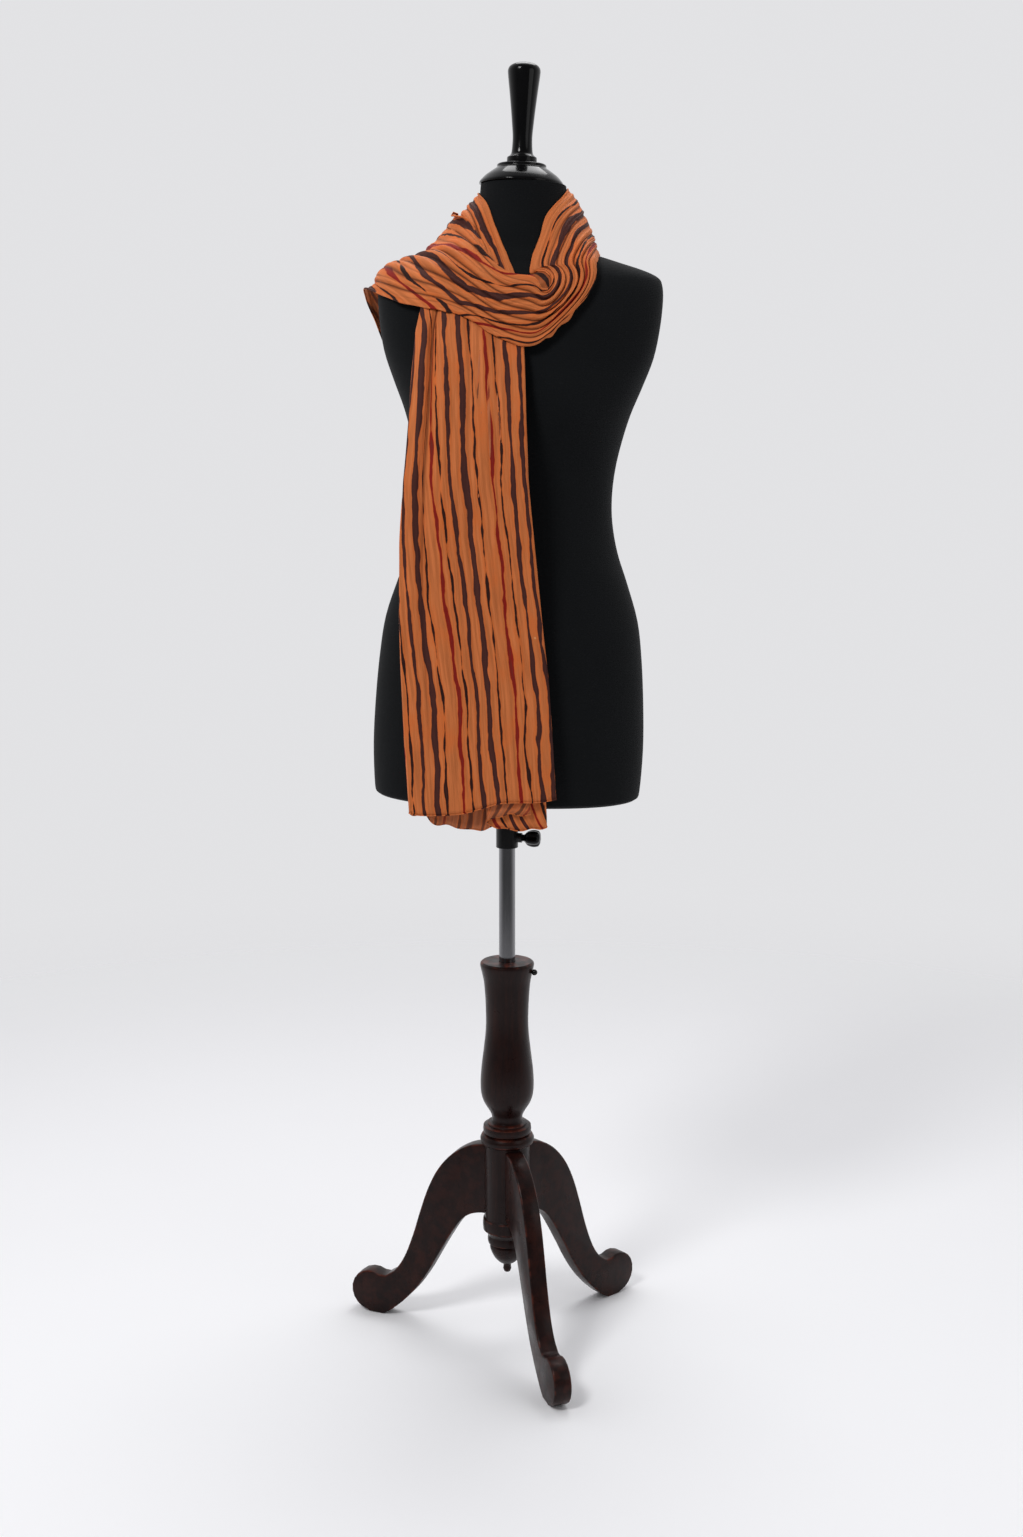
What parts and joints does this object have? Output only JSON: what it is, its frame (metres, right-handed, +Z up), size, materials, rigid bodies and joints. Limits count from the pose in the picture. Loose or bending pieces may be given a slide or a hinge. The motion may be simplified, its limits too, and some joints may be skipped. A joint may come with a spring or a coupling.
{
  "type": "chiffon stole on a dress form with tripod stand",
  "caption": "Striped chiffon stole wrapped once round the neck of a limbless dress form on a turned wood tripod stand, one end hanging in front and one behind.",
  "frame": {"origin": "centre of the part's own box on the floor plane; the stand's vertical axis is at x 0.0118, y 0.0321", "axes": "+Z up from the floor, -Y towards the viewer of the front, +X the wearer's left"},
  "size_m": [0.4208, 0.3919, 1.6937],
  "materials": {
    "chiffon": "burnt orange chiffon with wavy plum, near-black and dark red stripes",
    "jersey": "matt black stretch jersey",
    "black_lacquer": "gloss black",
    "mahogany": "dark mahogany stain, satin lacquer",
    "steel": "bright steel tube",
    "black_metal": "black coated metal"
  },
  "bodies": {
    "base": {"column": "mahogany", "column_drop": "mahogany", "leg_left": "mahogany", "leg_right": "mahogany", "leg_front": "mahogany"},
    "clamp_screw": {"column_screw": "black_metal"},
    "mast": {"pole": "steel"},
    "figure": {"form_torso": "jersey", "neck_cap": "black_lacquer", "cap_handle": "black_lacquer", "socket": "black_metal", "stole_front_fall": "chiffon", "stole_neck_right": "chiffon", "stole_neck_back": "chiffon", "stole_neck_left": "chiffon", "stole_swath": "chiffon", "stole_shoulder": "chiffon", "stole_back_fall": "chiffon"},
    "figure_knob": {"socket_knob": "black_lacquer"}
  },
  "joints": [
    {"name": "column_screw_turn", "type": "hinge", "parent": "base", "child": "clamp_screw", "pos_m": [0.0118, 0.0321, 0.5235], "axis": [0.9511, -0.309, 0], "range_deg": [0, 360]},
    {"name": "height_slide", "type": "slide", "parent": "base", "child": "mast", "axis": [0, 0, 1], "range_m": [-0.13, 0.16]},
    {"name": "figure_swivel", "type": "hinge", "parent": "mast", "child": "figure", "pos_m": [0.0118, 0.0321, 0.7065], "axis": [0, 0, 1], "continuous": true},
    {"name": "socket_knob_turn", "type": "hinge", "parent": "figure", "child": "figure_knob", "pos_m": [0.0118, 0.0321, 0.7065], "axis": [0.9781, -0.2079, 0], "range_deg": [0, 360]}
  ]
}
